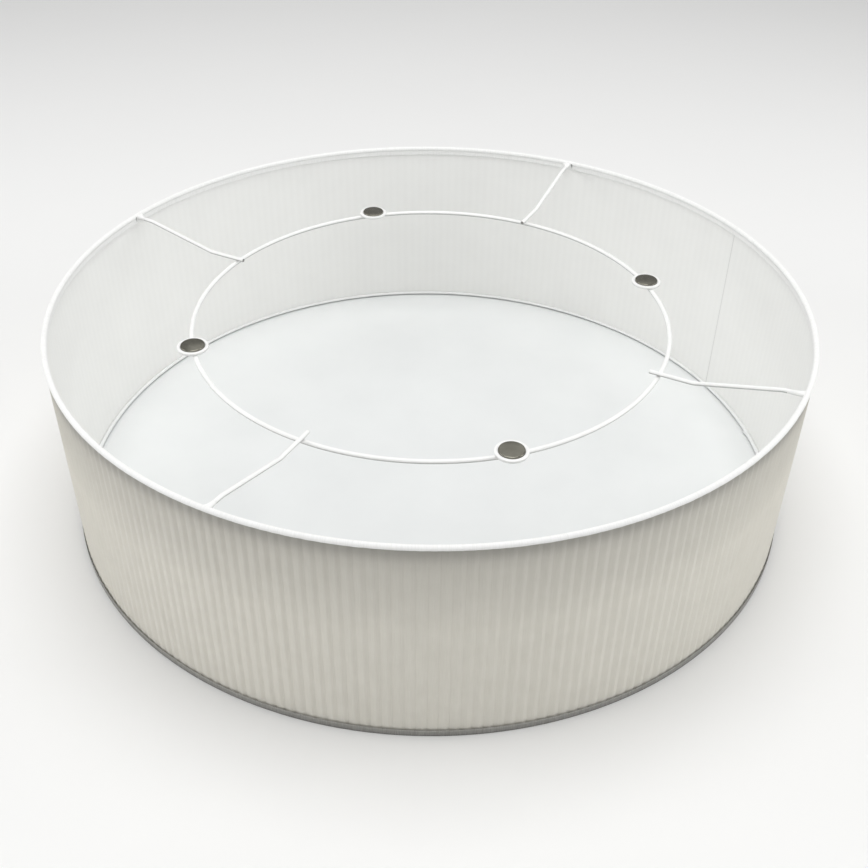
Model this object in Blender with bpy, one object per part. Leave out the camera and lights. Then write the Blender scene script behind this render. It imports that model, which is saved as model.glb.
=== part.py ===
"""Round drum lamp shade: pleated fabric wall on wire rings, with four magnets on an inner ring.

Metres, +Z up.  The origin is on the axis, at the surface that the shade's lower edge stands on.
"""

import math

import bmesh
import bpy

# Overall size
OUTER_RADIUS = 0.300
HEIGHT = 0.1723

# Gap kept between pieces that touch on the real shade
CLEARANCE = 0.0003

# Wire frame
RING_WIRE_RADIUS = 0.0014
MAGNET_RING_RADIUS = 0.1912
MAGNET_RING_DROP = 0.0201
MAGNET_RING_WIRE_RADIUS = 0.0017
SPOKE_COUNT = 4
SPOKE_AZIMUTH = math.radians(62.9)
SPOKE_WIRE_RADIUS = 0.0016
SPOKE_WELD_DROP = 0.0011
SPOKE_SHOULDER_RUN = 0.0153
SPOKE_SHOULDER_DROP = 0.0010
SPOKE_KNEE_REACH = 0.0268
SPOKE_END_REACH = 0.0070
SPOKE_BEND_RADIUS = 0.012

# Magnets and their cups
MAGNET_COUNT = 4
MAGNET_AZIMUTH = math.radians(16.9)
MAGNET_RADIUS = 0.0093
MAGNET_THICKNESS = 0.0023
MAGNET_CHAMFER = 0.0003
CUP_WALL = 0.0025
CUP_HEIGHT = 0.0019
CUP_FLOOR = 0.0004
CUP_EDGE_RADIUS = 0.0004

# Wall and bindings
BINDING_THICKNESS = 0.0005
COVER_THICKNESS = 0.0013
LINER_THICKNESS = 0.0004
TOP_LAP_HEIGHT = 0.0080
TOP_BINDING_OUTER_END = math.radians(-40.0)
BOTTOM_LAP_HEIGHT = 0.0065
BOTTOM_LAP_WIDTH = 0.0120
DIFFUSER_THICKNESS = 0.0015

# Facets
ROUND_STEPS = 80
WIRE_SIDES = 8
SMALL_STEPS = 32
BEND_STEPS = 4
WRAP_STEPS = 5
HALF_WIRE_RESOLUTION = 2
MERGE_DISTANCE = 0.00001
SMOOTH_ANGLE = math.radians(40.0)
QUARTER_TURN = math.tau / 4.0

# Sizes that follow from the ones above
ROLL_RADIUS = RING_WIRE_RADIUS + CLEARANCE + BINDING_THICKNESS
TOP_RING_RADIUS = OUTER_RADIUS - ROLL_RADIUS
TOP_RING_Z = HEIGHT - ROLL_RADIUS
MAGNET_RING_Z = TOP_RING_Z - MAGNET_RING_DROP
COVER_RADIUS = OUTER_RADIUS - BINDING_THICKNESS - CLEARANCE
LINER_RADIUS = COVER_RADIUS - COVER_THICKNESS - CLEARANCE
LINER_INNER_RADIUS = LINER_RADIUS - LINER_THICKNESS
WALL_BOTTOM = BINDING_THICKNESS + CLEARANCE
WALL_TOP = TOP_RING_Z - RING_WIRE_RADIUS - CLEARANCE
DIFFUSER_TOP = WALL_BOTTOM + DIFFUSER_THICKNESS
BOTTOM_RING_RADIUS = LINER_INNER_RADIUS - CLEARANCE - RING_WIRE_RADIUS
BOTTOM_RING_Z = DIFFUSER_TOP + CLEARANCE + RING_WIRE_RADIUS
SPOKE_OUTER_END = TOP_RING_RADIUS - RING_WIRE_RADIUS - CLEARANCE
SPOKE_OUTER_Z = TOP_RING_Z - SPOKE_WELD_DROP
MAGNET_RING_TOP = MAGNET_RING_Z + MAGNET_RING_WIRE_RADIUS
CUP_RADIUS = MAGNET_RADIUS + CLEARANCE + CUP_WALL
CUP_BOTTOM = MAGNET_RING_TOP + CLEARANCE
MAGNET_BOTTOM = CUP_BOTTOM + CUP_FLOOR + CLEARANCE


def clear_scene():
    for thing in list(bpy.data.objects):
        bpy.data.objects.remove(thing, do_unlink=True)


def material(name, colour, roughness, metallic=0.0):
    made = bpy.data.materials.new(name)
    made.use_nodes = True
    shader = made.node_tree.nodes["Principled BSDF"]
    shader.inputs["Base Color"].default_value = (*colour, 1.0)
    shader.inputs["Roughness"].default_value = roughness
    shader.inputs["Metallic"].default_value = metallic
    made.diffuse_color = (*colour, 1.0)
    return made


def place(name, data, finish):
    """Put a mesh or curve in the scene as one named object with one material."""
    data.materials.append(finish)
    thing = bpy.data.objects.new(name, data)
    bpy.context.scene.collection.objects.link(thing)
    return thing


def shade_round(mesh):
    mesh.shade_smooth()
    mesh.set_sharp_from_angle(angle=SMOOTH_ANGLE)


def turned_mesh(name, profile, steps, closed):
    """Spin a profile of (radius, height) points once round Z.

    A closed profile makes a ring.  An open one starts and ends on the axis and makes a disc.
    """
    shape = bmesh.new()
    points = [shape.verts.new((radius, 0.0, height)) for radius, height in profile]
    edges = [shape.edges.new(pair) for pair in zip(points, points[1:])]
    if closed:
        edges.append(shape.edges.new((points[-1], points[0])))
    bmesh.ops.spin(
        shape,
        geom=points + edges,
        cent=(0.0, 0.0, 0.0),
        axis=(0.0, 0.0, 1.0),
        angle=math.tau,
        steps=steps,
        use_merge=False,
    )
    bmesh.ops.remove_doubles(shape, verts=shape.verts, dist=MERGE_DISTANCE)
    bmesh.ops.recalc_face_normals(shape, faces=shape.faces)
    mesh = bpy.data.meshes.new(name)
    shape.to_mesh(mesh)
    shape.free()
    shade_round(mesh)
    return mesh


def box_profile(inner, outer, bottom, top):
    return [(outer, top), (outer, bottom), (inner, bottom), (inner, top)]


def arc(centre, radius, start, end, steps):
    """Points along an arc in the (radius, height) plane, both ends included."""
    angles = [start + (end - start) * step / steps for step in range(steps + 1)]
    return [(centre[0] + radius * math.cos(a), centre[1] + radius * math.sin(a)) for a in angles]


def wire_ring(name, radius, height, wire_radius, finish):
    section = arc((radius, height), wire_radius, 0.0, -math.tau, WIRE_SIDES)[:-1]
    return place(name, turned_mesh(name, section, ROUND_STEPS, closed=True), finish)


def rounded_path(corners, bend_radius, steps):
    """Points along straight runs between the corners, with an arc in place of each inner one."""
    path = [corners[0]]
    for before, corner, after in zip(corners, corners[1:], corners[2:]):
        heading_in = math.atan2(corner[1] - before[1], corner[0] - before[0])
        heading_out = math.atan2(after[1] - corner[1], after[0] - corner[0])
        turn = math.remainder(heading_out - heading_in, math.tau)
        setback = bend_radius * math.tan(abs(turn) / 2.0)
        start = (
            corner[0] - setback * math.cos(heading_in),
            corner[1] - setback * math.sin(heading_in),
        )
        side = math.copysign(QUARTER_TURN, turn)
        centre = (
            start[0] + bend_radius * math.cos(heading_in + side),
            start[1] + bend_radius * math.sin(heading_in + side),
        )
        path += arc(centre, bend_radius, heading_in - side, heading_in - side + turn, steps)
    return path + [corners[-1]]


def azimuths(first, count):
    return [first + math.tau * index / count for index in range(count)]


def spoke_curve():
    """One bent wire from the inside of the top ring down to the top of the magnet ring."""
    rest_z = MAGNET_RING_TOP + CLEARANCE + SPOKE_WIRE_RADIUS
    corners = [
        (SPOKE_OUTER_END, SPOKE_OUTER_Z),
        (SPOKE_OUTER_END - SPOKE_SHOULDER_RUN, SPOKE_OUTER_Z - SPOKE_SHOULDER_DROP),
        (MAGNET_RING_RADIUS + SPOKE_KNEE_REACH, rest_z),
        (MAGNET_RING_RADIUS - SPOKE_END_REACH, rest_z),
    ]
    path = rounded_path(corners, SPOKE_BEND_RADIUS, BEND_STEPS)
    curve = bpy.data.curves.new("spoke", "CURVE")
    curve.dimensions = "3D"
    curve.bevel_depth = SPOKE_WIRE_RADIUS
    curve.bevel_resolution = HALF_WIRE_RESOLUTION
    curve.use_fill_caps = True
    run = curve.splines.new("POLY")
    run.points.add(len(path) - 1)
    for point, (radius, height) in zip(run.points, path):
        point.co = (radius, 0.0, height, 1.0)
    return curve


def add_spokes(finish):
    spokes = []
    for index, azimuth in enumerate(azimuths(SPOKE_AZIMUTH, SPOKE_COUNT), start=1):
        spoke = place(f"spoke_{index}", spoke_curve(), finish)
        spoke.rotation_euler.z = azimuth
        spokes.append(spoke)
    return spokes


def add_spoke_notches(binding):
    """Cut the holes in the binding's inner side through which the spokes reach the top ring."""
    reach_out = SPOKE_OUTER_END + CLEARANCE
    reach_in = SPOKE_OUTER_END - ROLL_RADIUS
    for index, azimuth in enumerate(azimuths(SPOKE_AZIMUTH, SPOKE_COUNT), start=1):
        shape = bmesh.new()
        bmesh.ops.create_cone(
            shape,
            cap_ends=True,
            segments=WIRE_SIDES,
            radius1=SPOKE_WIRE_RADIUS + CLEARANCE,
            radius2=SPOKE_WIRE_RADIUS + CLEARANCE,
            depth=reach_out - reach_in,
        )
        mesh = bpy.data.meshes.new(f"notch_{index}")
        shape.to_mesh(mesh)
        shape.free()
        cutter = bpy.data.objects.new(f"notch_{index}", mesh)
        bpy.context.scene.collection.objects.link(cutter)
        middle = (reach_out + reach_in) / 2.0
        cutter.location = (
            middle * math.cos(azimuth),
            middle * math.sin(azimuth),
            SPOKE_OUTER_Z,
        )
        cutter.rotation_euler = (0.0, QUARTER_TURN, azimuth)
        cutter.hide_render = True
        cutter.display_type = "WIRE"
        cut = binding.modifiers.new(f"Notch {index}", "BOOLEAN")
        cut.operation = "DIFFERENCE"
        cut.solver = "EXACT"
        cut.object = cutter


def add_top_binding(finish):
    """Tape over the top ring, open below: outside it ends on the cover, inside it laps the liner."""
    centre = (TOP_RING_RADIUS, TOP_RING_Z)
    hollow_radius = RING_WIRE_RADIUS + CLEARANCE
    lap_outer = LINER_INNER_RADIUS - CLEARANCE
    lap_inner = lap_outer - BINDING_THICKNESS
    lap_bottom = HEIGHT - TOP_LAP_HEIGHT
    outside_end = math.tau - math.acos((lap_inner - centre[0]) / ROLL_RADIUS)
    hollow_end = math.tau - math.acos((lap_outer - centre[0]) / hollow_radius)
    outside = arc(centre, ROLL_RADIUS, outside_end, QUARTER_TURN, WRAP_STEPS)
    outside += arc(centre, ROLL_RADIUS, QUARTER_TURN, TOP_BINDING_OUTER_END, WRAP_STEPS)[1:]
    hollow = arc(centre, hollow_radius, TOP_BINDING_OUTER_END, QUARTER_TURN, WRAP_STEPS)
    hollow += arc(centre, hollow_radius, QUARTER_TURN, hollow_end, WRAP_STEPS)[1:]
    section = outside + hollow + [(lap_outer, lap_bottom), (lap_inner, lap_bottom)]
    binding = place("top_binding", turned_mesh("top_binding", section, ROUND_STEPS, closed=True), finish)
    add_spoke_notches(binding)
    return binding


def add_bottom_binding(finish):
    """Tape with an outer lap on the cover and a flat lap under the edge of the diffuser."""
    lap_inner = OUTER_RADIUS - BINDING_THICKNESS
    section = [
        (OUTER_RADIUS, BOTTOM_LAP_HEIGHT),
        (OUTER_RADIUS, 0.0),
        (OUTER_RADIUS - BOTTOM_LAP_WIDTH, 0.0),
        (OUTER_RADIUS - BOTTOM_LAP_WIDTH, BINDING_THICKNESS),
        (lap_inner, BINDING_THICKNESS),
        (lap_inner, BOTTOM_LAP_HEIGHT),
    ]
    return place("bottom_binding", turned_mesh("bottom_binding", section, ROUND_STEPS, closed=True), finish)


def add_wall(cover_finish, liner_finish):
    cover = box_profile(COVER_RADIUS - COVER_THICKNESS, COVER_RADIUS, WALL_BOTTOM, WALL_TOP)
    liner = box_profile(LINER_INNER_RADIUS, LINER_RADIUS, WALL_BOTTOM, WALL_TOP)
    place("pleated_cover", turned_mesh("pleated_cover", cover, ROUND_STEPS, closed=True), cover_finish)
    place("liner", turned_mesh("liner", liner, ROUND_STEPS, closed=True), liner_finish)


def add_diffuser(finish):
    edge = LINER_INNER_RADIUS - CLEARANCE
    section = [(0.0, DIFFUSER_TOP), (edge, DIFFUSER_TOP), (edge, WALL_BOTTOM), (0.0, WALL_BOTTOM)]
    return place("diffuser", turned_mesh("diffuser", section, ROUND_STEPS, closed=False), finish)


def cup_mesh():
    """A shallow round cup with a softened upper edge, standing on z = 0."""
    bore = MAGNET_RADIUS + CLEARANCE
    section = [
        (0.0, CUP_FLOOR),
        (bore, CUP_FLOOR),
        (bore, CUP_HEIGHT),
        (CUP_RADIUS - CUP_EDGE_RADIUS, CUP_HEIGHT),
        (CUP_RADIUS, CUP_HEIGHT - CUP_EDGE_RADIUS),
        (CUP_RADIUS, 0.0),
        (0.0, 0.0),
    ]
    return turned_mesh("magnet_cup", section, SMALL_STEPS, closed=False)


def magnet_mesh():
    """A round disc with a chamfered upper edge, standing on z = 0."""
    section = [
        (0.0, MAGNET_THICKNESS),
        (MAGNET_RADIUS - MAGNET_CHAMFER, MAGNET_THICKNESS),
        (MAGNET_RADIUS, MAGNET_THICKNESS - MAGNET_CHAMFER),
        (MAGNET_RADIUS, 0.0),
        (0.0, 0.0),
    ]
    return turned_mesh("magnet", section, SMALL_STEPS, closed=False)


def add_magnets(cup_finish, magnet_finish):
    for index, azimuth in enumerate(azimuths(MAGNET_AZIMUTH, MAGNET_COUNT), start=1):
        x = MAGNET_RING_RADIUS * math.cos(azimuth)
        y = MAGNET_RING_RADIUS * math.sin(azimuth)
        cup = place(f"magnet_cup_{index}", cup_mesh(), cup_finish)
        cup.location = (x, y, CUP_BOTTOM)
        magnet = place(f"magnet_{index}", magnet_mesh(), magnet_finish)
        magnet.location = (x, y, MAGNET_BOTTOM)


def build():
    clear_scene()
    powder_coat = material("powder_coat", (0.86, 0.86, 0.84), 0.45)
    cup_white = material("cup_white", (0.80, 0.80, 0.78), 0.50)
    magnet_metal = material("magnet_metal", (0.55, 0.54, 0.50), 0.12, metallic=1.0)
    white_tape = material("white_tape", (0.82, 0.82, 0.79), 0.85)
    grey_tape = material("grey_tape", (0.24, 0.24, 0.22), 0.85)
    pleated_fabric = material("pleated_fabric", (0.55, 0.53, 0.47), 0.90)
    liner_sheet = material("liner_sheet", (0.78, 0.78, 0.75), 0.60)
    milky_acrylic = material("milky_acrylic", (0.84, 0.86, 0.86), 0.35)

    wire_ring("top_ring", TOP_RING_RADIUS, TOP_RING_Z, RING_WIRE_RADIUS, powder_coat)
    wire_ring("magnet_ring", MAGNET_RING_RADIUS, MAGNET_RING_Z, MAGNET_RING_WIRE_RADIUS, powder_coat)
    wire_ring("bottom_ring", BOTTOM_RING_RADIUS, BOTTOM_RING_Z, RING_WIRE_RADIUS, powder_coat)
    add_spokes(powder_coat)
    add_magnets(cup_white, magnet_metal)
    add_wall(pleated_fabric, liner_sheet)
    add_top_binding(white_tape)
    add_bottom_binding(grey_tape)
    add_diffuser(milky_acrylic)


build()
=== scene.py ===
"""The looks of the round drum lamp shade: pleated fabric, tapes, wires, magnets, floor and light.

Metres, +Z up, the axis of the shade on Z.  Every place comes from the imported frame.
"""

import math

import bpy
from mathutils import Matrix, Vector, noise


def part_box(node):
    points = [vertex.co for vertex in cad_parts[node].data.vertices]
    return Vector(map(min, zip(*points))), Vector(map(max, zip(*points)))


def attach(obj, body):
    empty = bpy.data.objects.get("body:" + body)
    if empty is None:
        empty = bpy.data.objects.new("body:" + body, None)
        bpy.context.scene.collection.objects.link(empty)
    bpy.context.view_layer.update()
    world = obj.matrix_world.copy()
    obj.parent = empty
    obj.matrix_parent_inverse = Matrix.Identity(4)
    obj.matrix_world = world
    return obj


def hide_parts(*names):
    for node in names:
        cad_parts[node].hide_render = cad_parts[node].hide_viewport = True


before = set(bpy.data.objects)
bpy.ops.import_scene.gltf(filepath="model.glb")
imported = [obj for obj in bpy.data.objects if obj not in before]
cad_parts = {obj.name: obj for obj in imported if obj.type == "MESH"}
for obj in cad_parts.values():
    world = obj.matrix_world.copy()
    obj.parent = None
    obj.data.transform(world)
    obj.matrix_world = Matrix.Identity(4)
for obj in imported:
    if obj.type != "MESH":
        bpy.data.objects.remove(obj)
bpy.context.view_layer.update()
BODY = "root"
UP = Vector((0.0, 0.0, 1.0))


def box_centre(node):
    low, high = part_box(node)
    return (low + high) / 2.0


def half_height(node):
    low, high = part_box(node)
    return (high.z - low.z) / 2.0


def heading(node):
    """Azimuth of a node's middle, seen from the axis."""
    middle = box_centre(node)
    return math.atan2(middle.y, middle.x)


# Sizes read from the frame
OUTER_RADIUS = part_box("bottom_binding")[1].x
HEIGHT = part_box("top_binding")[1].z
TOP_LAP_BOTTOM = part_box("top_binding")[0].z
BAND_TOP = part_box("bottom_binding")[1].z
COVER_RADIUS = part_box("pleated_cover")[1].x
WALL_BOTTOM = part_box("pleated_cover")[0].z
WALL_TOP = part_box("pleated_cover")[1].z
LINER_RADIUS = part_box("liner")[1].x
TOP_RING_WIRE = half_height("top_ring")
TOP_RING_Z = box_centre("top_ring").z
TOP_RING_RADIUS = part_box("top_ring")[1].x - TOP_RING_WIRE
ROLL_RADIUS = HEIGHT - TOP_RING_Z
MAGNET_RING_WIRE = half_height("magnet_ring")
MAGNET_RING_Z = box_centre("magnet_ring").z
MAGNET_RING_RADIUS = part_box("magnet_ring")[1].x - MAGNET_RING_WIRE
BOTTOM_RING_WIRE = half_height("bottom_ring")
BOTTOM_RING_Z = box_centre("bottom_ring").z
BOTTOM_RING_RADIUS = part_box("bottom_ring")[1].x - BOTTOM_RING_WIRE
SPOKES = [f"spoke_{index}" for index in range(1, 5)]
CUPS = [f"magnet_cup_{index}" for index in range(1, 5)]
MAGNETS = [f"magnet_{index}" for index in range(1, 5)]
SPOKE_REST_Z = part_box(SPOKES[0])[0].z
CUP_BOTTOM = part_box(CUPS[0])[0].z
CUP_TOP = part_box(CUPS[0])[1].z
CUP_RADIUS = (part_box(CUPS[0])[1].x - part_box(CUPS[0])[0].x) / 2.0
MAGNET_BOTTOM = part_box(MAGNETS[0])[0].z
MAGNET_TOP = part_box(MAGNETS[0])[1].z
MAGNET_RADIUS = (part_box(MAGNETS[0])[1].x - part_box(MAGNETS[0])[0].x) / 2.0

# Pleated fabric
PLEAT_COUNT = 248
PLEAT_DEPTH = 0.0012
DEEPEST_PLEAT = 0.00125
PLEAT_PUFF = 0.00006
PLEAT_RISE_SHARE = 0.6
FOLD_STOPS = (0.0, 0.09, 0.2, 0.8, 0.91)
FOLD_ROUNDING = 0.2
FOLD_WANDER = 0.036
COVER_ROWS = 22
COVER_TUCK = 0.0004
COVER_TOP = TOP_RING_Z - COVER_TUCK

# Lining
LINING_SEAM = math.radians(24.4)
LINING_LAP = 0.005
LINING_STEP = 0.00025
LINING_GAP = 0.00008
LINING_RIPPLE = 0.00004
LINING_ROWS = 10
SEAM_SHADE_WIDTH = 0.0008

# Tapes
TAPE_THICKNESS = 0.0005
CLEARANCE = WALL_BOTTOM - TAPE_THICKNESS
FLAP_DEPTH = 0.0012
LAP_RADIUS = LINER_RADIUS - FLAP_DEPTH
ROLL_OUTER_END = math.radians(-20.0)
ROLL_INNER_END = math.tau - math.acos((LAP_RADIUS - TOP_RING_RADIUS) / ROLL_RADIUS)
LAP_TOP = TOP_RING_Z + ROLL_RADIUS * math.sin(ROLL_INNER_END)
FLAP_MARGIN = 0.0003
SLIT_WIDTH = 0.0009
SLIT_DEPTH = 0.0007
SLIT_ANGLE = math.radians(205.0)
BAND_LAP = 0.012
BAND_SCALLOP = 0.0008
BAND_EDGE = 0.0002
BAND_PRESS = 0.00032
BAND_CORNER = 0.0004

# Wires
SPOKE_WIRE = 0.0016
SPOKE_WELD_DROP = 0.0011
SPOKE_SHOULDER_RUN = 0.0153
SPOKE_SHOULDER_DROP = 0.0010
SPOKE_KNEE_REACH = 0.0268
SPOKE_END_REACH = 0.0070
SPOKE_BEND_RADIUS = 0.012
SPOKE_CUT_LENGTH = 0.0004
SPOKE_CUT_SHARE = 0.92
# Length of each spoke's sleeve, and the side it flares to, 1.0 to the left seen from the axis
SLEEVES = ((0.0070, 1.0), (0.0060, -1.0), (0.0070, -1.0), (0.0115, 1.0))
SLEEVE_GAP = 0.0038
SLEEVE_TUCK = 0.0006
SLEEVE_SKIN = 0.00005
SLEEVE_LIFT = 0.0001
SLEEVE_WIDENING = 0.0009
SLEEVE_THICKENING = 0.0004
SLEEVE_FLARE = 0.0030
SLEEVE_OFF_SIDE_FLARE = 0.0002
SLEEVE_FLARE_FADE = 0.0014
# Azimuth of each ring's butt weld, and the depth and width of the lump on its inner side
MAGNET_RING_WELD = (math.radians(-147.0), 0.0002, 0.0012)
BOTTOM_RING_WELD = (math.radians(8.2), 0.0010, 0.0028)
WELD_REACH = 0.016
WELD_SPACING = 0.0006
WELD_STEP = 0.00028
WELD_STEP_FADE = 0.010

# Radii that soften the corners of the cups and the discs, from their upper middle outward
CUP_SOFTENING = (0.0, 0.00025, 0.0005, 0.0002)
MAGNET_SOFTENING = (0.0006, 0.0001)

# Facets of the fine pieces
RING_STEPS = 480
WIRE_SIDES = 20
SLEEVE_STEPS = 20
BEND_STEPS = 8
DISC_STEPS = 96
CORNER_STEPS = 4
ARC_STEPS = 20

# Camera and sky
CAMERA_PLACE = (0.0, -0.7632, 0.6025)
CAMERA_LENS = 45.04
CAMERA_TILT = 0.6438
CAMERA_PAN = -0.0049
CAMERA_ROLL = 0.0137
SKY_STRENGTH = 0.367


# ---------------------------------------------------------------- mesh helpers


def mesh_piece(name, verts, faces, *finishes, smooth=True):
    mesh = bpy.data.meshes.new(name)
    mesh.from_pydata(verts, [], faces)
    mesh.update()
    for finish in finishes:
        mesh.materials.append(finish)
    if smooth:
        mesh.shade_smooth()
    piece = bpy.data.objects.new(name, mesh)
    bpy.context.scene.collection.objects.link(piece)
    return piece


def hand_over(piece, node):
    """The piece stands for a CAD node and rides on the shade."""
    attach(piece, BODY)
    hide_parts(node)


def grid_faces(rows, columns, closed_rows, closed_columns):
    """Quads over a grid of points stored row by row."""
    faces = []
    for row in range(rows if closed_rows else rows - 1):
        below = row * columns
        above = (row + 1) % rows * columns
        for column in range(columns if closed_columns else columns - 1):
            nxt = (column + 1) % columns
            faces.append((below + column, below + nxt, above + nxt, above + column))
    return faces


def lay_cloth(piece, row_places, column_places, rows_run_along):
    """A map in metres over a grid's faces: u along the cloth, v across it.

    Each list has one place per row or column, and one more where the grid closes on itself.
    """
    layer = piece.data.uv_layers.new(name="cloth")
    places = []
    for row, row_end in zip(row_places, row_places[1:]):
        for column, column_end in zip(column_places, column_places[1:]):
            corners = ((row, column), (row, column_end), (row_end, column_end), (row_end, column))
            for at_row, at_column in corners:
                places += [at_row, at_column] if rows_run_along else [at_column, at_row]
    layer.uv.foreach_set("vector", places)


def around(radius, height, azimuth):
    return (radius * math.cos(azimuth), radius * math.sin(azimuth), height)


def azimuths(steps):
    """Even steps round a whole turn, without the last one that closes it."""
    return [math.tau * step / steps for step in range(steps)]


def finer_near(steps, places, radius, reach, spacing):
    """Even azimuths round a circle, with closer ones within reach of some places on it."""
    found = set(azimuths(steps))
    count = round(reach / spacing)
    for place in places:
        for index in range(-count, count + 1):
            found.add((place + index * spacing / radius) % math.tau)
    kept = []
    for azimuth in sorted(found):
        if not kept or azimuth - kept[-1] > 0.2 * spacing / radius:
            kept.append(azimuth)
    return kept


def wander(azimuth, cycles, seed):
    """Smooth noise round the axis that joins up with itself, from about -1 to 1."""
    reach = cycles / math.tau
    return 1.6 * noise.noise(Vector((reach * math.cos(azimuth), reach * math.sin(azimuth), 7.3 * seed)))


def hump(distance, width):
    """A bell curve, 1 at no distance."""
    return math.exp(-((distance / width) ** 2))


def arc_away(azimuth, place, radius):
    """Distance along a circle from a place on it, signed."""
    return math.remainder(azimuth - place, math.tau) * radius


# ---------------------------------------------------------------- materials


# Sockets of a Mix node in its colour mode
MIX_FACTOR, MIX_FIRST, MIX_SECOND, MIX_RESULT = 0, 6, 7, 2


class Shader:
    """A node material being put together, one call per node."""

    def __init__(self, name, roughness, metallic=0.0, sheen=0.0):
        self.material = bpy.data.materials.new(name)
        self.material.use_nodes = True
        self.tree = self.material.node_tree
        self.surface = self.tree.nodes["Principled BSDF"]
        self.output = self.tree.nodes["Material Output"]
        self.set("Roughness", roughness)
        self.set("Metallic", metallic)
        self.set("Sheen Weight", sheen)
        self.places = self.node("ShaderNodeTexCoord").outputs["Object"]

    def node(self, kind, **settings):
        made = self.tree.nodes.new(kind)
        for key, value in settings.items():
            setattr(made, key, value)
        return made

    def link(self, source, target):
        self.tree.links.new(source, target)

    def set(self, socket, value):
        self.surface.inputs[socket].default_value = value

    def cloth(self, along, across):
        """Cloth coordinates, each multiplied by a number of repeats to the metre."""
        layer = self.node("ShaderNodeUVMap", uv_map="cloth")
        scaled = self.node("ShaderNodeMapping")
        scaled.inputs["Scale"].default_value = (along, across, 1.0)
        self.link(layer.outputs["UV"], scaled.inputs["Vector"])
        return scaled.outputs["Vector"]

    def noise(self, scale, detail=3.0, places=None):
        made = self.node("ShaderNodeTexNoise")
        made.inputs["Scale"].default_value = scale
        made.inputs["Detail"].default_value = detail
        self.link(places or self.places, made.inputs["Vector"])
        return made.outputs["Fac"]

    def math(self, operation, first, second, third=0.0):
        made = self.node("ShaderNodeMath", operation=operation)
        for socket, value in zip(made.inputs, (first, second, third)):
            if isinstance(value, (int, float)):
                socket.default_value = value
            else:
                self.link(value, socket)
        return made.outputs["Value"]

    def weave(self, pitch):
        """Height of a plain weave, threads over and under each other."""
        split = self.node("ShaderNodeSeparateXYZ")
        self.link(self.cloth(math.pi / pitch, math.pi / pitch), split.inputs["Vector"])
        warp = self.math("SINE", split.outputs["X"], 0.0)
        weft = self.math("SINE", split.outputs["Y"], 0.0)
        return self.math("MULTIPLY", warp, weft)

    def tones(self, factor, *stops):
        """Colours, or greys given as one number, along a ramp of (place, colour) stops."""
        made = self.node("ShaderNodeValToRGB")
        elements = made.color_ramp.elements
        elements[1].position = stops[-1][0]
        elements[0].position = stops[0][0]
        for place, tone in stops[1:-1]:
            elements.new(place)
        for element, (place, tone) in zip(elements, stops):
            element.color = (tone, tone, tone, 1.0) if isinstance(tone, float) else (*tone, 1.0)
        self.link(factor, made.inputs["Fac"])
        return made.outputs["Color"]

    def tinted(self, first, second):
        """Two colours multiplied."""
        made = self.node("ShaderNodeMix", data_type="RGBA", blend_type="MULTIPLY")
        made.inputs[MIX_FACTOR].default_value = 1.0
        self.link(first, made.inputs[MIX_FIRST])
        self.link(second, made.inputs[MIX_SECOND])
        return made.outputs[MIX_RESULT]

    def painted_shade_by_height(self, *stops):
        """Painted shade as greys by the height above the floor, from (metres, grey) stops."""
        split = self.node("ShaderNodeSeparateXYZ")
        self.link(self.places, split.inputs["Vector"])
        share = self.math("DIVIDE", split.outputs["Z"], HEIGHT)
        return self.tones(share, *[(height / HEIGHT, grey) for height, grey in stops])

    def painted_shade_by_slope(self, low, high, underside):
        """Painted shade: a grey where the normal's Z is low or less, up to white where it is high or
        more.
        """
        split = self.node("ShaderNodeSeparateXYZ")
        self.link(self.node("ShaderNodeNewGeometry").outputs["Normal"], split.inputs["Vector"])
        share = self.math("MULTIPLY_ADD", split.outputs["Z"], 0.5, 0.5)
        return self.tones(share, ((low + 1.0) / 2.0, underside), ((high + 1.0) / 2.0, 1.0))

    def colour(self, source):
        self.link(source, self.surface.inputs["Base Color"])

    def spread(self, factor, low, high):
        """A noise turned into a number between low and high."""
        made = self.node("ShaderNodeMapRange")
        made.inputs["From Min"].default_value = 0.3
        made.inputs["From Max"].default_value = 0.7
        made.inputs["To Min"].default_value = low
        made.inputs["To Max"].default_value = high
        self.link(factor, made.inputs["Value"])
        return made.outputs["Result"]

    def roughness(self, factor, low, high):
        self.link(self.spread(factor, low, high), self.surface.inputs["Roughness"])

    def bump(self, height, distance):
        made = self.node("ShaderNodeBump")
        made.inputs["Strength"].default_value = 1.0
        made.inputs["Distance"].default_value = distance
        self.link(height, made.inputs["Height"])
        self.link(made.outputs["Normal"], self.surface.inputs["Normal"])
        return made.outputs["Normal"]

    def pass_light(self, share, colour, normal):
        """Let a share of the light from the other side through."""
        behind = self.node("ShaderNodeBsdfTranslucent")
        if isinstance(colour, tuple):
            behind.inputs["Color"].default_value = (*colour, 1.0)
        else:
            self.link(colour, behind.inputs["Color"])
        self.link(normal, behind.inputs["Normal"])
        mix = self.node("ShaderNodeMixShader")
        mix.inputs["Fac"].default_value = share
        self.link(self.surface.outputs["BSDF"], mix.inputs[1])
        self.link(behind.outputs["BSDF"], mix.inputs[2])
        self.link(mix.outputs["Shader"], self.output.inputs["Surface"])


def powder_coat():
    """White powder coat with a faint orange peel, and painted shade that greys its undersides."""
    shader = Shader("powder_coat", 0.4)
    cloud = shader.noise(140.0)
    white = shader.tones(cloud, (0.3, (0.91, 0.91, 0.90)), (0.7, (0.95, 0.95, 0.94)))
    # painted shade: the undersides greyed by the normal's Z, standing in for less light from below
    shader.colour(shader.tinted(white, shader.painted_shade_by_slope(-0.5, 0.3, 0.42)))
    shader.roughness(shader.noise(420.0), 0.3, 0.46)
    shader.bump(shader.noise(1500.0, 2.0), 0.00006)
    return shader.material


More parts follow.
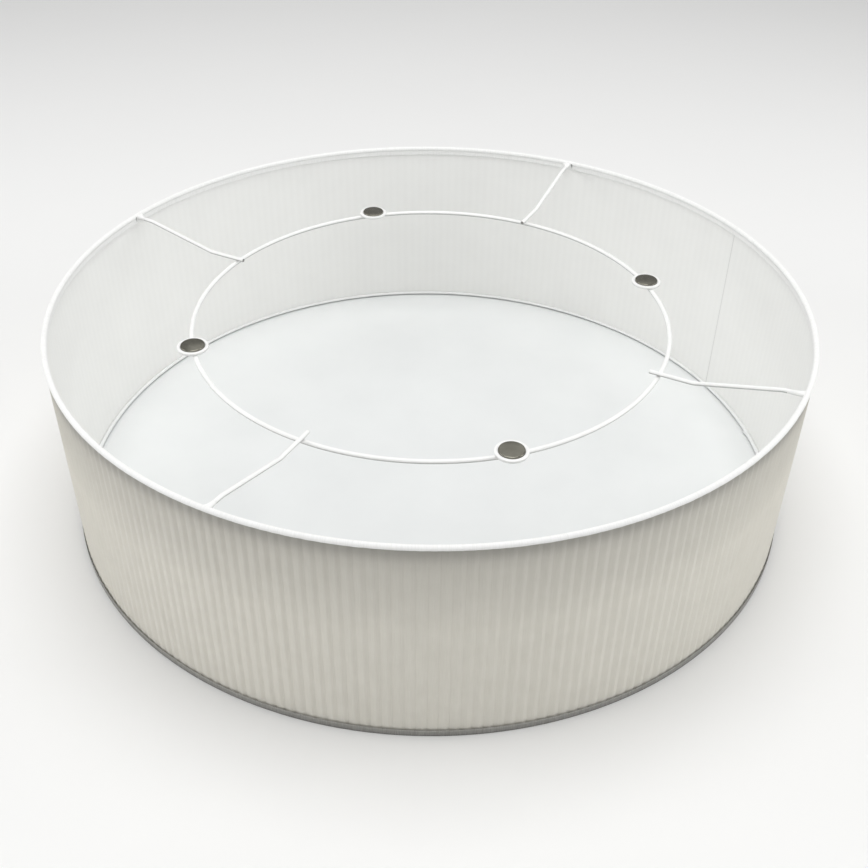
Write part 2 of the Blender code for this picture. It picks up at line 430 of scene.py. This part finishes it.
def painted_ring():
    """Dull white paint, with painted shade greying the side turned to the floor."""
    shader = Shader("painted_ring", 0.6)
    cloud = shader.noise(120.0)
    white = shader.tones(cloud, (0.3, (0.80, 0.81, 0.805)), (0.7, (0.85, 0.86, 0.855)))
    # painted shade: the side turned to the floor greyed by the normal's Z
    shader.colour(shader.tinted(white, shader.painted_shade_by_slope(-0.6, 0.1, 0.62)))
    shader.roughness(shader.noise(420.0), 0.5, 0.7)
    shader.bump(shader.noise(1100.0, 2.0), 0.00006)
    return shader.material


def cut_steel():
    """The sawn end of a coated wire."""
    shader = Shader("cut_steel", 0.5, metallic=0.6)
    grain = shader.noise(1800.0)
    shader.colour(shader.tones(grain, (0.3, (0.22, 0.22, 0.21)), (0.7, (0.34, 0.33, 0.32))))
    shader.roughness(shader.noise(2500.0), 0.4, 0.65)
    shader.bump(shader.noise(3000.0), 0.00004)
    return shader.material


def cup_white():
    """White moulded plastic, with painted shade greying its sides and underside."""
    shader = Shader("cup_white", 0.45)
    cloud = shader.noise(260.0)
    white = shader.tones(cloud, (0.3, (0.90, 0.90, 0.89)), (0.7, (0.94, 0.94, 0.93)))
    # painted shade: sides and underside greyed by the normal's Z
    shader.colour(shader.tinted(white, shader.painted_shade_by_slope(-0.3, 0.05, 0.5)))
    shader.roughness(shader.noise(500.0), 0.36, 0.52)
    shader.bump(shader.noise(2200.0, 2.0), 0.00003)
    return shader.material


def magnet_metal():
    """Nickel plate with faint clouding and fine scratches."""
    shader = Shader("magnet_metal", 0.16, metallic=1.0)
    cloud = shader.noise(90.0, 4.0)
    shader.colour(shader.tones(cloud, (0.3, (0.225, 0.218, 0.183)), (0.7, (0.285, 0.277, 0.235))))
    shader.roughness(shader.noise(320.0, 5.0), 0.10, 0.26)
    stretched = shader.node("ShaderNodeMapping")
    stretched.inputs["Rotation"].default_value = (0.0, 0.0, 0.6)
    stretched.inputs["Scale"].default_value = (900.0, 40.0, 1.0)
    shader.link(shader.places, stretched.inputs["Vector"])
    shader.bump(shader.noise(1.0, 4.0, stretched.outputs["Vector"]), 0.000012)
    return shader.material


def white_tape():
    """White cotton tape with its cross threads showing, with painted shade on its undersides and in the
    slits beside the spokes.
    """
    shader = Shader("white_tape", 0.9, sheen=0.1)
    threads = shader.noise(1.0, 2.0, shader.cloth(1500.0, 110.0))
    white = shader.tones(threads, (0.3, (0.90, 0.90, 0.885)), (0.62, (0.96, 0.96, 0.95)))
    # painted shade: the tape's undersides greyed by the normal's Z
    underside_shaded = shader.tinted(white, shader.painted_shade_by_slope(-0.75, -0.05, 0.84))
    # painted shade: the tape darkened in the slits beside the spokes through this mask
    slit_shade = shader.node("ShaderNodeAttribute", attribute_name="slit_shade").outputs["Fac"]
    shader.colour(shader.tinted(underside_shaded, shader.tones(slit_shade, (0.2, 1.0), (0.9, 0.4))))
    shader.roughness(shader.noise(300.0), 0.82, 0.96)
    height = shader.math("MULTIPLY_ADD", shader.weave(0.00035), 0.35, threads)
    shader.bump(height, 0.00013)
    return shader.material


def grey_tape():
    """Grey hem tape with cross threads and a little lint, with painted shade darkening it towards the
    floor.
    """
    shader = Shader("grey_tape", 0.9, sheen=0.15)
    threads = shader.noise(1.0, 3.0, shader.cloth(1100.0, 130.0))
    dark = (0.37, 0.363, 0.335)
    light = (0.50, 0.492, 0.46)
    grey = shader.tones(threads, (0.32, dark), (0.68, light))
    # painted shade: darker towards the floor, down to a painted contact shadow along the bottom edge
    floor_shade = shader.painted_shade_by_height((0.0003, 0.22), (0.0012, 0.58), (0.0035, 0.66), (0.0066, 1.0))
    shader.colour(shader.tinted(grey, floor_shade))
    shader.roughness(shader.noise(300.0), 0.82, 0.97)
    height = shader.math("MULTIPLY_ADD", shader.weave(0.00045), 0.35, threads)
    shader.bump(height, 0.00020)
    return shader.material


def pleated_fabric():
    """Fine plain weave, off white, a little mottled, with painted shade darkening it towards the rolled
    edge and a little at the bottom hem.
    """
    shader = Shader("pleated_fabric", 0.88, sheen=0.3)
    cloud = shader.noise(70.0, 5.0)
    slubs = shader.noise(1.0, 3.0, shader.cloth(2200.0, 60.0))
    mixed = shader.math("MULTIPLY_ADD", slubs, 0.6, shader.math("MULTIPLY", cloud, 0.4))
    dark = (0.850, 0.826, 0.752)
    light = (0.892, 0.868, 0.796)
    cream = shader.tones(mixed, (0.38, dark), (0.62, light))
    # painted shade by height: darkening from 0.10 m up to deep shade under the rolled edge, slightly dark
    # at the bottom hem; it also tints the light let through
    top = (0.150, 0.86), (0.157, 0.80), (0.161, 0.71), (0.165, 0.60), (0.169, 0.55)
    rim_shade = shader.painted_shade_by_height((0.0, 0.95), (0.012, 1.0), (0.100, 1.0), (0.130, 0.91), *top)
    shade = shader.tinted(cream, rim_shade)
    shader.colour(shade)
    shader.roughness(shader.noise(200.0), 0.8, 0.95)
    height = shader.math("MULTIPLY_ADD", shader.weave(0.0004), 0.4, slubs)
    normal = shader.bump(height, 0.00008)
    shader.pass_light(0.3, shade, normal)
    return shader.material


def lining_sheet():
    """Smooth white laminate with painted light of the pleats faintly showing through as stripes, and a
    grey line at its glued edge.
    """
    shader = Shader("lining_sheet", 0.6)
    cloud = shader.noise(35.0, 4.0)
    white = shader.tones(cloud, (0.3, (0.955, 0.955, 0.937)), (0.7, (0.970, 0.970, 0.952)))
    # painted light: faint stripes at the pleat pitch where light through the pleats would show
    split = shader.node("ShaderNodeSeparateXYZ")
    shader.link(shader.cloth(PLEAT_COUNT / LINER_RADIUS, 1.0), split.inputs["Vector"])
    folds = shader.math("MULTIPLY_ADD", shader.math("SINE", split.outputs["X"], 0.0), 0.3, cloud)
    painted_show_through = shader.tinted(white, shader.tones(folds, (0.15, 0.978), (0.85, 1.0)))
    seam = shader.node("ShaderNodeAttribute", attribute_name="seam").outputs["Fac"]
    shader.colour(shader.tinted(painted_show_through, shader.tones(seam, (0.0, 1.0), (1.0, 0.72))))
    shader.roughness(shader.noise(80.0), 0.5, 0.7)
    normal = shader.bump(shader.noise(160.0, 4.0), 0.00008)
    shader.pass_light(0.06, (0.93, 0.93, 0.91), normal)
    return shader.material


def milky_acrylic():
    """Opal sheet with very faint clouds and a satin surface."""
    shader = Shader("milky_acrylic", 0.35)
    cloud = shader.noise(16.0, 5.0)
    shader.colour(shader.tones(cloud, (0.3, (0.782, 0.798, 0.796)), (0.7, (0.812, 0.827, 0.824))))
    shader.roughness(shader.noise(45.0, 4.0), 0.32, 0.46)
    shader.bump(shader.noise(260.0, 3.0), 0.00002)
    return shader.material


def floor_paper():
    """Even white paper."""
    shader = Shader("floor_paper", 0.9)
    cloud = shader.noise(6.0)
    shader.colour(shader.tones(cloud, (0.3, (0.866, 0.866, 0.859)), (0.7, (0.871, 0.871, 0.864))))
    return shader.material


# ---------------------------------------------------------------- wires


def sweep(path, side, radii):
    """Rings of points round a path whose every run is square to the side vector."""
    points = [Vector(point) for point in path]
    last = len(points) - 1
    verts = []
    for index, (point, radius) in enumerate(zip(points, radii)):
        tangent = (points[min(index + 1, last)] - points[max(index - 1, 0)]).normalized()
        other = tangent.cross(side).normalized()
        for angle in azimuths(WIRE_SIDES):
            across = side * (radius * math.cos(angle))
            verts.append(point + across + other * (radius * math.sin(angle)))
    return verts


def wire_ring(name, node, radius, height, wire, finish, weld):
    """A ring bent from one wire of a radial and an upright half-width, with a rough butt weld."""
    place, lump, lump_width = weld
    verts = []
    turns = finer_near(RING_STEPS, [place], radius, WELD_REACH, WELD_SPACING)
    for azimuth in turns:
        away = arc_away(azimuth, place, radius)
        step = math.copysign(WELD_STEP, away) * math.exp(-abs(away) / WELD_STEP_FADE)
        step *= 1.0 - hump(away, 0.0010)
        rough = 0.05 * wander(away * 900.0, 9.0, 1) * hump(away, 0.004)
        thick = 1.0 + 0.16 * hump(away, 0.0014) + rough
        inward = lump * hump(away, lump_width)
        for angle in azimuths(WIRE_SIDES):
            across = thick * wire[0] * math.sin(angle) - inward * max(0.0, -math.sin(angle))
            rise = thick * wire[1] * math.cos(angle)
            verts.append(around(radius + step + across, height + rise, azimuth))
    ring = mesh_piece(name, verts, grid_faces(len(turns), WIRE_SIDES, True, True), finish)
    hand_over(ring, node)


def rounded_path(corners, bend_radius):
    """Points along straight runs between the corners, with an arc in place of each inner one."""
    path = [corners[0]]
    for before, corner, after in zip(corners, corners[1:], corners[2:]):
        heading_in = (corner - before).normalized()
        heading_out = (after - corner).normalized()
        setback = bend_radius * math.tan(heading_in.angle(heading_out) / 2.0)
        start = corner - heading_in * setback
        end = corner + heading_out * setback
        for step in range(BEND_STEPS + 1):
            share = step / BEND_STEPS
            first = start.lerp(corner, share)
            path.append(first.lerp(corner.lerp(end, share), share))
    return path + [corners[-1]]


def spoke_path():
    """The bent wire's middle line as (distance from the axis, height)."""
    rest_z = SPOKE_REST_Z + SPOKE_WIRE
    outer_end = TOP_RING_RADIUS - TOP_RING_WIRE - CLEARANCE
    outer_z = TOP_RING_Z - SPOKE_WELD_DROP
    corners = [
        Vector((outer_end, outer_z)),
        Vector((outer_end - SPOKE_SHOULDER_RUN, outer_z - SPOKE_SHOULDER_DROP)),
        Vector((MAGNET_RING_RADIUS + SPOKE_KNEE_REACH, rest_z)),
        Vector((MAGNET_RING_RADIUS - SPOKE_END_REACH, rest_z)),
    ]
    return rounded_path(corners, SPOKE_BEND_RADIUS)


def turned_path(path, azimuth):
    """Points of (distance from the axis, height), set at an azimuth."""
    return [Vector(around(point.x, point.y, azimuth)) for point in path]


def fine_spoke(node, finish, cut_finish):
    """A spoke along its bent path, with the edge of its sawn inner end taken off."""
    azimuth = heading(node)
    path = spoke_path()
    before_cut = path[-1] + Vector((SPOKE_CUT_LENGTH, 0.0))
    path = path[:-1] + [before_cut, path[-1]]
    radii = [SPOKE_WIRE] * (len(path) - 1) + [SPOKE_WIRE * SPOKE_CUT_SHARE]
    side = Vector((-math.sin(azimuth), math.cos(azimuth), 0.0))
    verts = sweep(turned_path(path, azimuth), side, radii)
    faces = grid_faces(len(path), WIRE_SIDES, False, True)
    faces.append(tuple(reversed(range(WIRE_SIDES))))
    faces.append(tuple(range((len(path) - 1) * WIRE_SIDES, len(path) * WIRE_SIDES)))
    spoke = mesh_piece(node.replace("spoke", "wire_spoke"), verts, faces, finish, cut_finish)
    spoke.data.polygons[-1].material_index = 1
    spoke.data.polygons[-1].use_smooth = False
    hand_over(spoke, node)


def sleeve(node, length, flare_side, finish):
    """The bit of tape that wraps the outer end of a spoke and runs into the rolled edge."""
    azimuth = heading(node)
    side = Vector((-math.sin(azimuth), math.cos(azimuth), 0.0))
    start = TOP_RING_RADIUS - SLEEVE_TUCK
    root = TOP_RING_RADIUS - ROLL_RADIUS
    outer_z = TOP_RING_Z - SPOKE_WELD_DROP
    slope = SPOKE_SHOULDER_DROP / SPOKE_SHOULDER_RUN
    columns = WIRE_SIDES + 8
    verts = []
    for step in range(SLEEVE_STEPS + 1):
        share = step / SLEEVE_STEPS
        reach = start + (root - length - start) * share
        flare = math.exp(-max(0.0, root - reach) / SLEEVE_FLARE_FADE)
        taper = (1.0 - share) ** 1.3
        height = outer_z + SLEEVE_LIFT - slope * (root + ROLL_RADIUS - reach)
        for angle in azimuths(columns):
            on_flare_side = math.cos(angle) * flare_side > 0.0
            wide = SPOKE_WIRE + SLEEVE_SKIN + SLEEVE_WIDENING * taper
            wide += flare * (SLEEVE_FLARE if on_flare_side else SLEEVE_OFF_SIDE_FLARE)
            thick = SPOKE_WIRE + SLEEVE_SKIN + SLEEVE_THICKENING * taper
            crease = 1.0 + 0.035 * taper * math.sin(5.0 * angle + 9.0 * share + 40.0 * azimuth)
            point = Vector(around(reach, height + thick * crease * math.sin(angle), azimuth))
            verts.append(point + side * (wide * crease * math.cos(angle)))
    faces = grid_faces(SLEEVE_STEPS + 1, columns, False, True)
    piece = mesh_piece(node.replace("spoke", "sleeve"), verts, faces, finish)
    along = [0.0005 * row for row in range(SLEEVE_STEPS + 1)]
    lay_cloth(piece, along, [0.0006 * column for column in range(columns + 1)], False)
    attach(piece, BODY)
    return piece


# ---------------------------------------------------------------- fabric wall


def rounded(share):
    """A straight rise from 0 to 1 with both its ends rounded off."""
    if share < FOLD_ROUNDING:
        return FOLD_ROUNDING / 2.0 + share * share / (2.0 * FOLD_ROUNDING)
    if share > 1.0 - FOLD_ROUNDING:
        return 1.0 - rounded(1.0 - share)
    return share


def fold_place(fold, height):
    """Where a fold runs at a height, in pleats: even folds are valleys, odd ones ridges."""
    pleat, ridge = divmod(fold, 2)
    number = fold % (2 * PLEAT_COUNT)
    slow = noise.noise(Vector((3.7 * number, height / 0.07, 1.0)))
    quick = noise.noise(Vector((5.1 * number, height / 0.018, 2.0)))
    still = noise.noise(Vector((0.83 * number, 0.37, 3.0)))
    drift = FOLD_WANDER * (1.1 * slow + 0.3 * quick + 1.3 * still)
    return pleat + ridge * PLEAT_RISE_SHARE + drift


def pleat_depth(fold, height):
    """How deep a fold is at a height, pressed flatter near both hems."""
    number = fold % (2 * PLEAT_COUNT)
    vary = 1.0 + 0.16 * noise.noise(Vector((1.9 * number, height / 0.05, 9.0)))
    pressed = 1.0 - 0.3 * hump(WALL_TOP - height, 0.012) - 0.2 * hump(height - WALL_BOTTOM, 0.010)
    return min(PLEAT_DEPTH * vary * pressed, DEEPEST_PLEAT)


def even_heights(bottom, top, rows):
    return [bottom + (top - bottom) * row / rows for row in range(rows + 1)]


def pleated_cover(finish):
    """The fabric's one sheet, each of its pleats a long rise and a short fall."""
    verts = []
    folds = 2 * PLEAT_COUNT
    along = [0.0]
    heights = even_heights(WALL_BOTTOM, COVER_TOP, COVER_ROWS)
    for height in heights:
        places = [fold_place(fold, height) for fold in range(folds + 1)]
        depths = [pleat_depth(fold, height) for fold in range(folds + 1)]
        for fold in range(folds):
            start, end = places[fold], places[fold + 1]
            for stop in FOLD_STOPS:
                azimuth = math.tau * (start + (end - start) * stop) / PLEAT_COUNT
                depth = depths[fold] + (depths[fold + 1] - depths[fold]) * stop
                rise = rounded(stop) if fold % 2 == 0 else 1.0 - rounded(stop)
                puff = PLEAT_PUFF * math.sin(math.pi * stop)
                verts.append(around(COVER_RADIUS + puff - depth * (1.0 - rise), height, azimuth))
    pitch = math.tau * COVER_RADIUS / PLEAT_COUNT
    for fold in range(folds):
        wide = PLEAT_RISE_SHARE if fold % 2 == 0 else 1.0 - PLEAT_RISE_SHARE
        length = math.hypot(wide * pitch, PLEAT_DEPTH)
        begin = along[-1]
        along += [begin + length * stop for stop in FOLD_STOPS[1:]] + [begin + length]
    faces = grid_faces(COVER_ROWS + 1, folds * len(FOLD_STOPS), False, True)
    cover = mesh_piece("pleated_fabric", verts, faces, finish)
    lay_cloth(cover, heights, along, False)
    hand_over(cover, "pleated_cover")


def lining(finish):
    """One sheet rolled into a drum, its inner end glued over its outer one at the seam."""
    lap = LINING_LAP / LINER_RADIUS
    start = LINING_SEAM - math.tau - lap
    turns = [start + (math.tau + lap) * step / RING_STEPS for step in range(RING_STEPS - 3)]
    turns += [LINING_SEAM - away / LINER_RADIUS for away in (0.0016, 0.0011, 0.0005, 0.0)]
    verts = []
    seams = []
    heights = even_heights(WALL_BOTTOM, WALL_TOP, LINING_ROWS)
    for row, height in enumerate(heights):
        for turn in turns:
            left = (LINING_SEAM - turn) * LINER_RADIUS
            inward = LINING_STEP * hump(max(0.0, left - 1.2 * LINING_LAP), 0.012)
            ripple = LINING_RIPPLE * wander(turn, 30.0, 4 + row * 0.06)
            verts.append(around(LINER_RADIUS - LINING_GAP - inward + ripple, height, turn))
            seams.append(hump(left, SEAM_SHADE_WIDTH))
    drum = mesh_piece("lining", verts, grid_faces(LINING_ROWS + 1, len(turns), False, False), finish)
    drum.data.attributes.new("seam", "FLOAT", "POINT").data.foreach_set("value", seams)
    lay_cloth(drum, heights, [turn * LINER_RADIUS for turn in turns], False)
    hand_over(drum, "liner")


# ---------------------------------------------------------------- bindings


def arc_angles(start, end, steps):
    return [start + (end - start) * step / steps for step in range(steps + 1)]


def on_circle(centre, radius, angle):
    return (centre[0] + radius * math.cos(angle), centre[1] + radius * math.sin(angle))


def band(name, turns, sections, finish):
    """Closed sections of (radius, height) points, one for each azimuth, joined into a ring."""
    verts = []
    for azimuth, section in zip(turns, sections):
        verts += [around(radius, height, azimuth) for radius, height in section]
    columns = len(sections[0])
    piece = mesh_piece(name, verts, grid_faces(len(turns), columns, True, True), finish)
    along = [OUTER_RADIUS * azimuth for azimuth in turns] + [OUTER_RADIUS * (turns[0] + math.tau)]
    first = sections[0] + sections[0][:1]
    across = [0.0]
    for point, following in zip(first, first[1:]):
        across.append(across[-1] + math.dist(point, following))
    lay_cloth(piece, along, across, True)
    return piece


def ridge_share(azimuth):
    """How near the pleat at an azimuth is to its ridge, from 0 in the valley to 1."""
    place = azimuth / math.tau * PLEAT_COUNT % 1.0
    if place < PLEAT_RISE_SHARE:
        return rounded(place / PLEAT_RISE_SHARE)
    return rounded((1.0 - place) / (1.0 - PLEAT_RISE_SHARE))


def slit_share(azimuth, gaps):
    """How near an azimuth is to a slit in the tape beside a spoke, from 0 to 1."""
    return max(hump(arc_away(azimuth, gap, TOP_RING_RADIUS), SLIT_WIDTH) for gap in gaps)


def under_roll(radius, height):
    """Whether a point is on the lower inner quarter of the roll, where the slits are."""
    return radius < TOP_RING_RADIUS and TOP_RING_Z - ROLL_RADIUS < height < TOP_RING_Z


def roll_section(azimuth, gaps):
    """The tape's section: out round the top ring, back along its own inner face, and the flap."""
    centre = (TOP_RING_RADIUS, TOP_RING_Z)
    uneven = 3.0 * wander(azimuth, 160.0, 11) + 2.0 * wander(azimuth, 520.0, 12)
    outer_end = ROLL_OUTER_END - math.radians(uneven + 5.0 * (ridge_share(azimuth) - 0.5))
    ripple = 0.00007 * (1.0 - wander(azimuth, 240.0, 13))
    ripple += 0.00004 * (1.0 - wander(azimuth, 700.0, 14))
    dent = slit_share(azimuth, gaps)
    outside = []
    for angle in arc_angles(ROLL_INNER_END, outer_end, ARC_STEPS):
        crown = max(0.0, math.sin(angle)) ** 8
        from_slit = math.remainder(angle - SLIT_ANGLE, math.tau)
        pull = ripple * (1.0 - crown) + SLIT_DEPTH * dent * hump(from_slit, 0.55)
        outside.append(on_circle(centre, ROLL_RADIUS - pull, angle))
    inside = []
    for radius, height in reversed(outside):
        away = Vector((radius - centre[0], height - centre[1]))
        away *= 1.0 - TAPE_THICKNESS / away.length
        inside.append((centre[0] + away.x, centre[1] + away.y))
    edge = TOP_LAP_BOTTOM + 0.00018 * wander(azimuth, 150.0, 15)
    flap_top = LAP_TOP - FLAP_MARGIN
    back = LAP_RADIUS + TAPE_THICKNESS
    flap = [(back, flap_top), (back, edge), (LAP_RADIUS, edge)]
    flap += [(LAP_RADIUS, edge + FLAP_MARGIN), (LAP_RADIUS, flap_top)]
    return outside + inside + flap


def rolled_edge(finish):
    """The white tape round the top ring, slit beside each spoke, and the spokes' sleeves."""
    headings = [heading(node) for node in SPOKES]
    gap_turn = SLEEVE_GAP / TOP_RING_RADIUS
    gaps = [azimuth - side * gap_turn for azimuth, (_, side) in zip(headings, SLEEVES)]
    turns = finer_near(3 * RING_STEPS, headings, TOP_RING_RADIUS, 0.008, 0.0005)
    sections = [roll_section(azimuth, gaps) for azimuth in turns]
    roll = band("rolled_edge", turns, sections, finish)
    hand_over(roll, "top_binding")
    # a mask that paints shade into the slits on the roll's lower inner side
    slit_shades = []
    for azimuth, section in zip(turns, sections):
        dent = slit_share(azimuth, gaps)
        slit_shades += [dent if under_roll(*point) else 0.0 for point in section]
    roll.data.attributes.new("slit_shade", "FLOAT", "POINT").data.foreach_set("value", slit_shades)
    for node, (length, flare_side) in zip(SPOKES, SLEEVES):
        sleeve(node, length, flare_side, finish)


def edge_section(azimuth):
    """The hem tape's section: down the outside, under the disc, and back along its inner face."""
    ridge = ridge_share(azimuth)
    uneven = 0.6 * wander(azimuth, 260.0, 21) + 0.4 * wander(azimuth, 700.0, 22)
    top = BAND_TOP - BAND_SCALLOP * (1.0 - ridge) - 0.0002 + 0.0002 * uneven
    pressed = BAND_PRESS * (1.0 - ridge)
    section = []
    for share in (1.0, 0.85, 0.6, 0.35, 0.15):
        height = BAND_CORNER + (top - BAND_CORNER) * share
        puff = 0.00012 * math.sin(math.pi * share) * (0.5 + 0.5 * wander(azimuth, 330.0, 23))
        section.append((OUTER_RADIUS - pressed * share - puff, height))
    middle = (OUTER_RADIUS - BAND_CORNER, BAND_CORNER)
    bend = arc_angles(0.0, -math.pi / 2.0, CORNER_STEPS)
    section += [on_circle(middle, BAND_CORNER, angle) for angle in bend]
    lap_middle = OUTER_RADIUS - 0.5 * BAND_LAP
    lap_end = OUTER_RADIUS - BAND_LAP + 0.0003 * wander(azimuth, 120.0, 24)
    section += [(lap_middle, 0.0), (lap_end, 0.0), (lap_end, TAPE_THICKNESS)]
    section += [(lap_middle, TAPE_THICKNESS), (OUTER_RADIUS - TAPE_THICKNESS, TAPE_THICKNESS)]
    section.append((section[2][0] - TAPE_THICKNESS, section[2][1]))
    section.append((section[0][0] - BAND_EDGE, top - BAND_EDGE))
    return section


def edge_band(finish):
    """The grey tape round the bottom edge, pressed into the pleats."""
    turns = azimuths(8 * PLEAT_COUNT)
    piece = band("edge_band", turns, [edge_section(azimuth) for azimuth in turns], finish)
    hand_over(piece, "bottom_binding")


# ---------------------------------------------------------------- magnets


def lathe(name, centre, profile, finish):
    """Turn a profile of (radius, height) points, from the axis out and back to it, about a centre."""
    steps = DISC_STEPS
    rings = profile[1:-1]
    verts = []
    for radius, height in rings:
        for azimuth in azimuths(steps):
            verts.append(Vector(around(radius, height, azimuth)) + centre)
    faces = [tuple(reversed(face)) for face in grid_faces(len(rings), steps, False, True)]
    for profile_end, ring in ((profile[0], 0), (profile[-1], len(rings) - 1)):
        pole = len(verts)
        verts.append(centre + UP * profile_end[1])
        for step in range(steps):
            here, nxt = ring * steps + step, ring * steps + (step + 1) % steps
            faces.append((pole, here, nxt) if ring == 0 else (pole, nxt, here))
    return mesh_piece(name, verts, faces, finish)


def soft_corner(corner, before, after, radius):
    """Points that round off a square corner of a profile."""
    start = Vector(corner) + (Vector(before) - Vector(corner)).normalized() * radius
    end = Vector(corner) + (Vector(after) - Vector(corner)).normalized() * radius
    middle = Vector(corner)
    points = []
    for step in range(CORNER_STEPS + 1):
        share = step / CORNER_STEPS
        first = start.lerp(middle, share)
        points.append(tuple(first.lerp(middle.lerp(end, share), share)))
    return points


def softened(corners, radii):
    """A profile with each inner corner rounded off by its own radius, or kept where that is 0."""
    profile = [corners[0]]
    for before, corner, after, radius in zip(corners, corners[1:], corners[2:], radii):
        profile += soft_corner(corner, before, after, radius) if radius else [corner]
    return profile + [corners[-1]]


def magnet_set(cup_node, magnet_node, cup_finish, magnet_finish):
    """A cup and the disc in it, both with softened edges."""
    middle = box_centre(magnet_node)
    centre = Vector((middle.x, middle.y, 0.0))
    floor = MAGNET_BOTTOM - CLEARANCE
    bore = MAGNET_RADIUS + CLEARANCE
    corners = [(0.0, floor), (bore, floor), (bore, CUP_TOP), (CUP_RADIUS, CUP_TOP)]
    corners += [(CUP_RADIUS, CUP_BOTTOM), (0.0, CUP_BOTTOM)]
    profile = softened(corners, CUP_SOFTENING)
    cup = lathe(cup_node.replace("magnet_cup", "white_cup"), centre, profile, cup_finish)
    hand_over(cup, cup_node)
    corners = [(0.0, MAGNET_TOP), (MAGNET_RADIUS, MAGNET_TOP)]
    corners += [(MAGNET_RADIUS, MAGNET_BOTTOM), (0.0, MAGNET_BOTTOM)]
    profile = softened(corners, MAGNET_SOFTENING)
    disc = lathe(magnet_node.replace("magnet", "disc_magnet"), centre, profile, magnet_finish)
    hand_over(disc, magnet_node)


# ---------------------------------------------------------------- studio


def camera():
    lens = bpy.data.cameras.new("camera")
    lens.sensor_width = 36.0
    lens.lens = CAMERA_LENS
    eye = bpy.data.objects.new("camera", lens)
    bpy.context.scene.collection.objects.link(eye)
    eye.location = CAMERA_PLACE
    aim = Matrix.Rotation(CAMERA_PAN, 4, "Z") @ Matrix.Rotation(math.pi / 2.0 - CAMERA_TILT, 4, "X")
    eye.rotation_euler = (aim @ Matrix.Rotation(CAMERA_ROLL, 4, "Z")).to_euler()
    bpy.context.scene.camera = eye


def area_light(name, place, aim, size, power):
    data = bpy.data.lights.new(name, "AREA")
    data.shape = "RECTANGLE"
    data.size, data.size_y = size
    data.energy = power
    lamp = bpy.data.objects.new(name, data)
    bpy.context.scene.collection.objects.link(lamp)
    lamp.location = place
    lamp.rotation_euler = (Vector(aim) - Vector(place)).to_track_quat("-Z", "Y").to_euler()
    lamp.visible_camera = False


def studio():
    """A wide pale floor, an even sky and five soft lamps."""
    far = 15.0
    corners = [(-far, -far, 0.0), (far, -far, 0.0), (far, far, 0.0), (-far, far, 0.0)]
    floor = mesh_piece("floor", corners, [(0, 1, 2, 3)], floor_paper(), smooth=False)
    world = bpy.data.worlds.new("world")
    bpy.context.scene.world = world
    world.use_nodes = True
    sky = world.node_tree.nodes["Background"]
    sky.inputs["Color"].default_value = (1.0, 1.0, 1.0, 1.0)
    sky.inputs["Strength"].default_value = SKY_STRENGTH
    low_centre = (0.0, 0.0, 0.05)
    area_light("overhead", (0.0, 0.1, 2.2), (0.0, 0.1, 0.0), (1.4, 1.4), 23.4)
    area_light("behind", (0.0, 1.6, 1.9), (0.0, 0.0, 0.0), (1.6, 1.2), 2.6)
    area_light("front", (0.0, -1.9, 2.1), (0.0, 0.0, 0.0), (1.6, 1.2), 10.3)
    area_light("left", (-2.0, -0.2, 0.9), low_centre, (1.2, 1.0), 12.0)
    area_light("right", (2.0, -0.2, 0.9), low_centre, (1.2, 1.0), 12.4)
    bpy.context.scene.view_settings.view_transform = "Standard"


def coat_node(node, finish):
    """A CAD node that keeps its shape gets its finished material."""
    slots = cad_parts[node].data.materials
    slots.clear()
    slots.append(finish)


def magnet_wire(finish):
    wire = (MAGNET_RING_WIRE, MAGNET_RING_WIRE)
    place = (MAGNET_RING_RADIUS, MAGNET_RING_Z)
    wire_ring("magnet_wire", "magnet_ring", *place, wire, finish, MAGNET_RING_WELD)


def bottom_wire(finish):
    """The bottom ring, widened outward to where the lining is glued to it."""
    reach = (LINER_RADIUS - BOTTOM_RING_RADIUS + BOTTOM_RING_WIRE) / 2.0
    middle = BOTTOM_RING_RADIUS - BOTTOM_RING_WIRE + reach
    wire = (reach, BOTTOM_RING_WIRE)
    place = (middle, BOTTOM_RING_Z)
    wire_ring("bottom_wire", "bottom_ring", *place, wire, finish, BOTTOM_RING_WELD)


def build():
    """Make every piece and material of the shade, then the camera and the studio."""
    powder = powder_coat()
    steel = cut_steel()
    white_cup = cup_white()
    nickel = magnet_metal()
    tape = white_tape()

    pleated_cover(pleated_fabric())
    lining(lining_sheet())
    rolled_edge(tape)
    edge_band(grey_tape())
    magnet_wire(powder)
    bottom_wire(painted_ring())
    for node in SPOKES:
        fine_spoke(node, powder, steel)
    for cup_node, magnet_node in zip(CUPS, MAGNETS):
        magnet_set(cup_node, magnet_node, white_cup, nickel)
    coat_node("top_ring", powder)
    coat_node("diffuser", milky_acrylic())
    camera()
    studio()


build()
